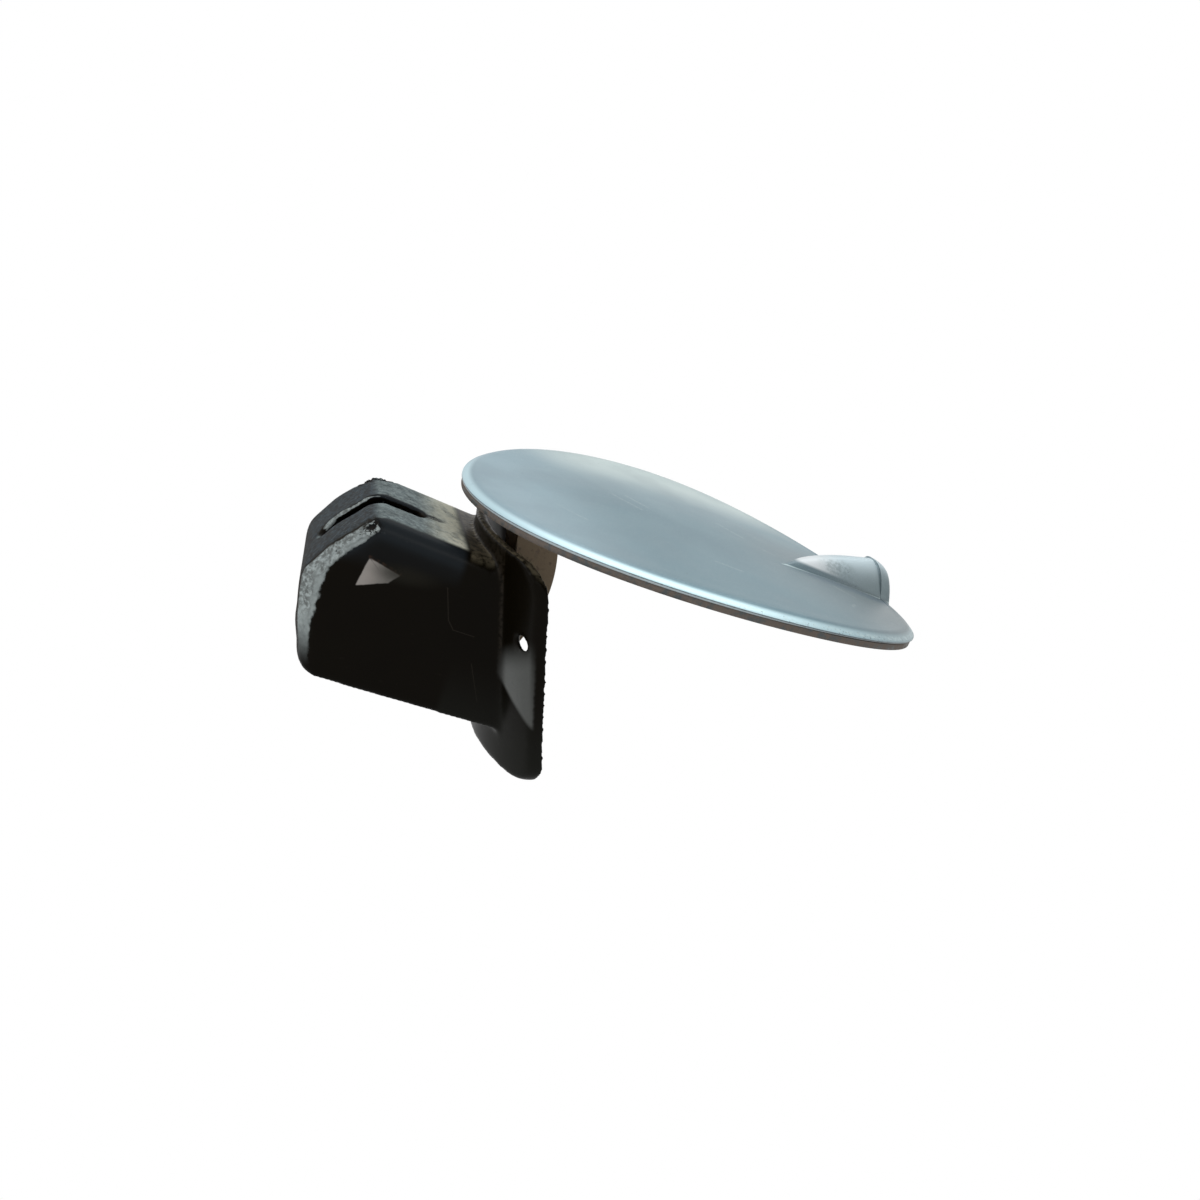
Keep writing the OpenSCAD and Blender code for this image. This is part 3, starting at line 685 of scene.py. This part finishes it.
def rim_tone(s, tone, x, y, z):
    """The rim: a painted highlight along its near side, broken towards the scoop on the roll's outer part,
    over a wall with a painted dark line and a painted highlight on the hem.
    """
    around = s.vector("LENGTH", s.vector("MULTIPLY", s.place, (1 / FLAP_STRETCH, 1, 0)), None)
    sag = s.blend(s.ramp(x, 4, -4), FLAP_SAG, FLAP_SAG - HINGE_END_LIFT)
    fall = s.mul(x, x, sag, 1 / (FLAP_STRETCH * FLAP_R) ** 2)
    depth = s.math("SUBTRACT", 0.0, s.add(z, fall))
    near = s.ramp(s.add(y, s.mul(x, 0.35)), 22, -22)
    # Painted highlight along the rim's near side, where the roll reflects the sky
    highlight_band = s.mul(s.ramp(around, 79.2, 81.2), near)
    highlight_band = s.mul(highlight_band, s.blend(s.ramp(x, 50, -20), 0.25, 0.95), s.blend(s.ramp(x, -50, -80), 1.0, 0.5))
    tone = s.mix(highlight_band, tone, RIM_PAINTED_HIGHLIGHT)
    # A broken painted highlight on the roll's outer part, towards the scoop
    toned_area = s.mul(s.ramp(around, 80.6, 81.3), s.ramp(around, 82.3, 81.8), near, s.ramp(x, -30, 25))
    toned_area = s.mul(toned_area, s.ramp(s.noise(1.6, 4, 0.65), 0.42, 0.6))
    tone = s.mix(s.mul(toned_area, 0.5), tone, RIM_BROKEN_HIGHLIGHT)
    wall = s.mul(s.ramp(around, 81.0, 81.8), s.ramp(depth, 1.6, 1.75))
    grey = s.mix(s.ramp(x, -40, 30), WALL_HINGE_END, WALL_SCOOP_END)
    grey = s.mix(s.ramp(s.noise(1.2, 4, 0.7), 0.4, 0.65), grey, WALL_DIRT)
    tone = s.mix(wall, tone, grey)
    # A thin painted dark reflection along the wall, and a painted highlight on the hem below it
    dark_line = s.mul(wall, s.ramp(depth, 1.6, 1.7), s.ramp(depth, 1.95, 1.85))
    tone = s.mix(s.mul(dark_line, 0.7), tone, WALL_PAINTED_DARK_REFLECTION)
    hem = s.mul(wall, s.ramp(depth, 1.9, 2.0), s.blend(s.ramp(x, 40, -20), 0.45, 1.0))
    tone = s.mix(s.mul(hem, 0.8), tone, HEM_PAINTED_HIGHLIGHT)
    specks = s.ramp(s.noise(0.75, 3, 0.6, shift=5), 0.62, 0.67)
    rim = s.mul(s.ramp(around, 80.0, 81.6), s.ramp(x, -45, 30))
    return s.mix(s.mul(specks, rim, 0.85), tone, RIM_SPECK)


def paint():
    s = Shader("silver_blue_paint")
    x, y, z = (s.along(s.place, axis) for axis in "XYZ")
    # The hood is what stands above the bent face, at the scoop's end
    hooded = s.ramp(s.add(z, s.mul(x, x, 1 / (2 * BEND_R))), 0.1, 1.2)
    hooded = s.mul(hooded, s.ramp(x, 20, 28))
    tone = hood_tone(s, face_tone(s, x, y), hooded, x, y)
    tone = scratched(s, tone, hooded)
    tone = s.vector("SCALE", tone, s.blend(hooded, PAINT_DEPTH, HOOD_DEPTH))
    # Painted highlight along the crease at the hood's near foot
    crease_highlight = s.line(*HOOD_CREASE, 0.35, 0.45)
    tone = s.mix(s.mul(crease_highlight, 0.6), tone, CREASE_PAINTED_HIGHLIGHT)
    tone = rim_tone(s, tone, x, y, z)
    pits = s.ramp(s.noise(1.5, 2, 0.5, shift=11), 0.735, 0.76)
    pits = s.mul(pits, s.ramp(s.noise(18, 2, shift=2), 0.5, 0.6))
    tone = s.mix(s.mul(pits, 0.7), tone, PAINT_PIT)
    flakes = s.noise(0.32, 2, 0.7)
    tone = s.mix(s.mul(s.ramp(flakes, 0.5, 0.75), 0.18), tone, PAINT_FLAKE)
    relief = s.bump(s.noise(26, 3), 0.22, s.bump(flakes, 0.014))
    rough = s.blend(s.noise(25, 4), 0.34, 0.46)
    return s.finish(Base_Color=tone, Metallic=0.2, Roughness=rough, Normal=relief,
                    Specular_IOR_Level=0.25, Coat_Weight=0.04, Coat_Roughness=0.2)


# The hinge box's plastic

PLASTIC_DEEP = srgb(6, 3, 0)
PLASTIC = srgb(12, 8, 2)
# Worn chalky grey of the top, lightened as painted sky light where it faces up
CHALK_DARK_AND_SKY_LIGHT = srgb(88, 96, 96)
CHALK_AND_SKY_LIGHT = srgb(124, 132, 130)
CHALK_GRAIN = srgb(160, 165, 162)
TAN_DUST = srgb(176, 172, 152)
TAN_DUST_PALE = srgb(240, 234, 212)
# The end wall's worn grey with painted sky light, darker low down as painted shade
END_WALL_WORN_AND_LIT = srgb(64, 70, 74)
END_WALL_WORN_AND_SHADED = srgb(46, 43, 40)
END_WALL_BLOTCH = srgb(102, 104, 102)
SHEEN = srgb(31, 35, 38)
SCUFF_DARK = srgb(118, 124, 123)
SCUFF_PALE = srgb(190, 196, 192)
CHIP_BLACK = srgb(16, 17, 18)
WORN_GROOVE = srgb(24, 25, 26)
# A pale three-cornered painted reflection on the near face, and its dark edge
TRIANGLE_REFLECTION_PALE = srgb(160, 152, 145)
TRIANGLE_REFLECTION_DARK = srgb(112, 108, 102)
TRIANGLE_REFLECTION_EDGE = srgb(58, 42, 32)
HAZE = srgb(31, 29, 23)
SCRATCH = srgb(92, 84, 74)
# Paler grey low on the flange's back
FLANGE_LOW_GREY = srgb(24, 24, 20)
# A pale wedge of painted reflection on the flange by its edge
WEDGE_PAINTED_REFLECTION_PALE = srgb(108, 108, 105)
WEDGE_PAINTED_REFLECTION_DARK = srgb(86, 86, 83)
CORNER_DUST = srgb(40, 34, 27)
LEDGE_DUST = srgb(96, 87, 70)
# Ways that a surface can face
UP = (0, 0, 1)
NEAR = (0, -1, 0)
BACK = (-1, 0, 0)
LEANING_BACK = (-1, 0, 0.25)
NEAR_TOP_EDGE = (0, -0.8, 0.6)
NEAR_END_EDGE = (-0.55, -0.83, 0.1)
# Places of marks on the box
NEAR_PEAK = (-111, -26, -21.5)
SLOT_STAIN = (-91, -3.2, -22)
NEAR_FACE_Y = -27.5
HAZE_PLACE = (-97, NEAR_FACE_Y, -34.5)
# Corners in X and Z of the pale three-cornered painted reflection on the near face, as two triangles
TRIANGLE_REFLECTION_PARTS = [
    ((-108.9, -31.6), (-110.9, -41.3), (-101.0, -38.0)),
    ((-108.9, -31.6), (-101.6, -38.2), (-98.5, -34.9)),
]
# The painted reflection's dark edge and the scratches: from and to a place in X and Z, width and softness
TRIANGLE_REFLECTION_EDGE_LINE = ((-108.9, -31.2), (-98.8, -34.4), 0.5, 0.5)
FACE_SCRATCHES = [
    ((-83.6, -35.2), (-80.3, -45.7), 0.12, 0.14),
    ((-80.3, -45.7), (-77.9, -48.7), 0.12, 0.14),
    ((-77.9, -48.7), (-70.7, -49.4), 0.10, 0.12),
    ((-68.8, -58.9), (-63, -71.9), 0.08, 0.12),
]


def face_line(s, start, end, width, soft):
    """A stroke on the box's near face, between two places in X and Z."""
    return s.line((start[0], NEAR_FACE_Y, start[1]), (end[0], NEAR_FACE_Y, end[1]), width, soft)


def worn_and_lit_grey(s, tone, x, z, upper, side, mottle, fine):
    """The top and the leaning wall: worn chalky grey with painted sky light on them, the wall darker towards
    the bottom as painted shade, with tan dust towards the flange.
    """
    # Worn chalky grey, with painted sky light on the faces that look up
    sky_lit_chalk = s.mix(s.ramp(mottle, 0.35, 0.65), CHALK_DARK_AND_SKY_LIGHT, CHALK_AND_SKY_LIGHT)
    sky_lit_chalk = s.mix(s.mul(s.ramp(fine, 0.52, 0.7), 0.5), sky_lit_chalk, CHALK_GRAIN)
    tone = s.mix(s.mul(upper, s.blend(s.ramp(s.noise(5, 4), 0.3, 0.6), 0.6, 1.0)), tone, sky_lit_chalk)
    tan = s.mul(upper, s.ramp(x, -96, -80), s.blend(s.ramp(s.noise(4, 4, shift=4), 0.35, 0.55), 0.5, 1.0))
    tone = s.mix(tan, tone, s.mix(mottle, TAN_DUST, TAN_DUST_PALE))
    # Worn grey of the end wall, painted lighter high up and darker low down as painted light and shade
    wall = s.mix(s.ramp(z, -34, -50), END_WALL_WORN_AND_LIT, END_WALL_WORN_AND_SHADED)
    wall = s.mix(s.mul(s.ramp(mottle, 0.5, 0.7), 0.4), wall, END_WALL_BLOTCH)
    return s.mix(s.mul(side, s.ramp(z, -74, -60)), tone, wall)


def edge_scuff(s, x, z):
    """Ragged scuff along the near edge of the end, and on the near face beside it."""
    rub = s.mul(s.facing(NEAR_END_EDGE, 0.76, 0.9), s.facing(NEAR, 0.98, 0.86), s.ramp(x, -96, -103))
    ragged = s.ramp(s.add(s.noise(2.4, 5, 0.7, (1, 1, 0.8)), s.mul(rub, 0.5)), 0.58, 0.72)
    brink = s.add(x, s.mul(z, -0.05), s.mul(s.noise(2.6, 4, 0.6), -3.0))
    brink = s.mul(s.facing(NEAR, 0.8, 0.95), s.ramp(brink, -119.2, -120.2), s.ramp(z, -72, -60))
    return s.union(s.mul(rub, ragged, s.ramp(z, -72, -52)), s.mul(brink, 0.8))


def chipped(s, tone, toned_area, fine):
    """Chips and pits that show black, and the worn groove past the slot's end."""
    pits = s.ramp(s.noise(1.1, 3, 0.6, shift=7), 0.66, 0.70)
    pits = s.mul(pits, s.ramp(s.noise(9, 3, shift=1), 0.42, 0.55))
    peaks = s.union(s.within(NEAR_PEAK, 4.6, 2.0), s.within(WORN_FAR_TOP, 8.0, 3.0))
    peaks = s.mul(peaks, s.ramp(s.noise(1.5, 4, 0.7, shift=3), 0.42, 0.52))
    tone = s.mix(s.union(s.mul(pits, toned_area), peaks), tone, CHIP_BLACK)
    dark_line = s.mul(s.within(SLOT_STAIN, 3.0, 1.6, (2.0, 0.7, 1.2)), s.ramp(fine, 0.35, 0.55))
    return s.mix(s.mul(dark_line, 0.85), tone, WORN_GROOVE)


def marked(s, tone, x, face, reflected_triangle, mottle):
    """Marks on the near face: a pale three-cornered painted reflection with a dark edge, a haze beside it
    and fine scratches.
    """
    tone = s.mix(s.mul(reflected_triangle, 0.9), tone, s.mix(s.ramp(x, -110, -101), TRIANGLE_REFLECTION_PALE, TRIANGLE_REFLECTION_DARK))
    # Dark edge of the painted reflection
    reflected_edge = s.mul(face, face_line(s, *TRIANGLE_REFLECTION_EDGE_LINE))
    tone = s.mix(s.mul(reflected_edge, s.ramp(mottle, 0.4, 0.6), 0.6), tone, TRIANGLE_REFLECTION_EDGE)
    haze = s.mul(face, s.within(HAZE_PLACE, 9.0, 8.0, (1.6, 1, 0.5)), 0.7)
    tone = s.mix(haze, tone, HAZE)
    scratch = s.union(*(face_line(s, *stroke) for stroke in FACE_SCRATCHES))
    fine_marks = s.ramp(s.noise(0.5, 2, 0.5, (9, 1, 2.5), 6, 0.7), 0.72, 0.80)
    scratch = s.mul(s.union(scratch, s.mul(fine_marks, 0.25)), face)
    return s.mix(s.mul(scratch, 0.14), tone, SCRATCH)


def flange_tone(s, tone, x, y, z):
    """The flange: paler grey towards the bottom, a pale wedge of painted reflection by its edge, a dark
    corner, brown dust on its ledge.
    """
    back = s.ramp(x, -76.5, -73.5)
    # Paler grey towards the bottom of the flange's back
    tone = s.mix(s.mul(back, s.ramp(z, -55, -90)), tone, FLANGE_LOW_GREY)
    low_edge = s.add(z, s.mul(s.add(y, 27.4), -0.78))
    high_edge = s.add(z, s.mul(s.add(y, 28.2), 0.70))
    # A pale wedge of painted reflection on the flange's back, by its edge
    reflected_wedge = s.mul(s.ramp(low_edge, -62.2, -59.4), s.ramp(high_edge, -49.0, -60.5), s.ramp(y, -27.0, -31.0),
                  s.ramp(y, -42.5, -40.0), s.facing(BACK, 0.1, 0.4))
    tone = s.mix(s.mul(reflected_wedge, 0.95), tone, s.mix(s.ramp(y, -30, -40), WEDGE_PAINTED_REFLECTION_PALE, WEDGE_PAINTED_REFLECTION_DARK))
    corner = s.mul(s.ramp(s.math("ABSOLUTE", y), 28.9, 28.3), s.facing(BACK, 0.2, 0.6),
                   s.ramp(z, -58, -50), s.ramp(s.noise(1.3, 4, 0.6), 0.35, 0.6), 0.64)
    tone = s.mix(corner, tone, CORNER_DUST)
    ledge = s.mul(s.facing(UP, 0.5, 0.85), s.ramp(x, -79.6, -78.4), s.ramp(z, -30, -22))
    return s.mix(s.mul(ledge, s.ramp(s.noise(2.0, 4, 0.7), 0.3, 0.6), 0.9), tone, LEDGE_DUST)


def box_plastic():
    s = Shader("worn_black_plastic")
    x, y, z = (s.along(s.place, axis) for axis in "XYZ")
    mottle = s.noise(1.6, 5, 0.65)
    fine = s.noise(0.45, 3, 0.7)
    outside = s.ramp(x, -79, -82)
    upper = s.mul(s.facing(UP, 0.45, 0.85), s.facing(NEAR, 0.42, 0.1), s.ramp(z, -40, -36), outside)
    side = s.mul(s.facing(LEANING_BACK, 0.45, 0.8), s.facing(NEAR, 0.4, 0.15), s.ramp(x, -98, -102))
    # The top and the leaning wall: worn grey under painted sky light
    toned_area = s.union(upper, side)
    face = s.mul(s.facing(NEAR, 0.9, 0.97), s.ramp(y, -26.6, -27.2))
    # A pale three-cornered painted reflection on the near face
    reflected_triangle = s.union(*(s.triangle(*corners) for corners in TRIANGLE_REFLECTION_PARTS))
    reflected_triangle = s.mul(face, s.ramp(s.add(reflected_triangle, s.mul(s.noise(2.6, 4, 0.65), 0.7)), 0.55, 1.25))
    scuff = edge_scuff(s, x, z)

    tone = s.mix(s.noise(22, 4), PLASTIC_DEEP, PLASTIC)
    tone = worn_and_lit_grey(s, tone, x, z, upper, side, mottle, fine)
    # Blue sheen on the rounded near edge of the top
    sheen = s.mul(s.facing(NEAR_TOP_EDGE, 0.72, 0.93), s.ramp(z, -36, -30), outside)
    tone = s.mix(s.mul(sheen, 0.9), tone, SHEEN)
    tone = s.mix(scuff, tone, s.mix(mottle, SCUFF_DARK, SCUFF_PALE))
    tone = chipped(s, tone, toned_area, fine)
    tone = marked(s, tone, x, face, reflected_triangle, mottle)
    tone = flange_tone(s, tone, x, y, z)

    dull = s.union(toned_area, scuff, reflected_triangle)
    rough = s.blend(dull, s.blend(s.noise(8, 5), 0.24, 0.36), 0.78)
    relief = s.bump(s.mul(mottle, dull), 0.10, s.bump(s.noise(9, 3), 0.10))
    return s.finish(Base_Color=tone, Roughness=rough, Normal=relief, Specular_IOR_Level=0.05)


# The other nodes

MOTTLE = 3.0


def plain(name, colour, rough, metallic=0.0, specular=0.3):
    """Plain metal, rubber or plastic with a fine mottle."""
    s = Shader(name)
    grain = s.noise(MOTTLE, 4)
    dark = tuple(c * 0.7 for c in colour)
    tone = s.mix(grain, dark, colour)
    relief = s.bump(s.noise(MOTTLE / 4, 3), 0.03)
    return s.finish(Base_Color=tone, Roughness=s.blend(grain, rough, min(1, rough + 0.15)),
                    Metallic=metallic, Normal=relief, Specular_IOR_Level=specular)


def dusty(name, metal, dust, amount):
    """Metal under a broken coat of dust, thicker where the surface faces up."""
    s = Shader(name)
    patches = s.noise(2.6, 5, 0.65)
    cover = s.add(s.mul(s.facing(UP, -0.2, 0.9), 0.25), patches)
    cover = s.ramp(cover, 0.72 - amount * 0.5, 0.92 - amount * 0.5)
    grit = s.noise(0.5, 3, 0.7)
    tone = s.mix(cover, s.mix(patches, tuple(c * 0.6 for c in metal), metal),
                 s.mix(grit, tuple(c * 0.7 for c in dust), dust))
    relief = s.bump(grit, 0.06)
    return s.finish(Base_Color=tone, Roughness=s.blend(cover, 0.45, 0.85), Metallic=s.blend(cover, 0.5, 0.0),
                    Normal=relief, Specular_IOR_Level=0.2)


MATERIALS = {
    "hinge_arm": dusty("dusty_steel", srgb(118, 102, 88), srgb(156, 136, 112), 0.8),
    "arm_rivets": plain("rivet_steel", (0.30, 0.29, 0.27), 0.5, 0.6),
    "pin_bush_near": plain("bush_plastic", (0.05, 0.05, 0.05), 0.5),
    "hinge_pin": plain("pin_steel", (0.45, 0.44, 0.42), 0.35, 0.9),
    "return_spring": plain("spring_steel", (0.25, 0.24, 0.22), 0.4, 0.9),
    "bump_stop_near": plain("buffer_rubber", (0.02, 0.02, 0.02), 0.8, specular=0.15),
}
MATERIALS["bump_stop_far"] = MATERIALS["bump_stop_near"]
MATERIALS["open_stop_pad"] = MATERIALS["bump_stop_near"]
MATERIALS["pin_bush_far"] = MATERIALS["pin_bush_near"]
MATERIALS["pin_push_nut"] = MATERIALS["arm_rivets"]

make_camera()
make_floor()
make_world()
for lamp in LAMPS:
    area_light(*lamp)
for name, material in MATERIALS.items():
    wear(nodes[name], material)
wear(make_skin(), paint())
wear(make_panel(), dusty("inner_paint", srgb(92, 96, 96), srgb(112, 101, 92), 0.7))
wear(make_box(), box_plastic())

bpy.context.scene.view_settings.view_transform = "Standard"
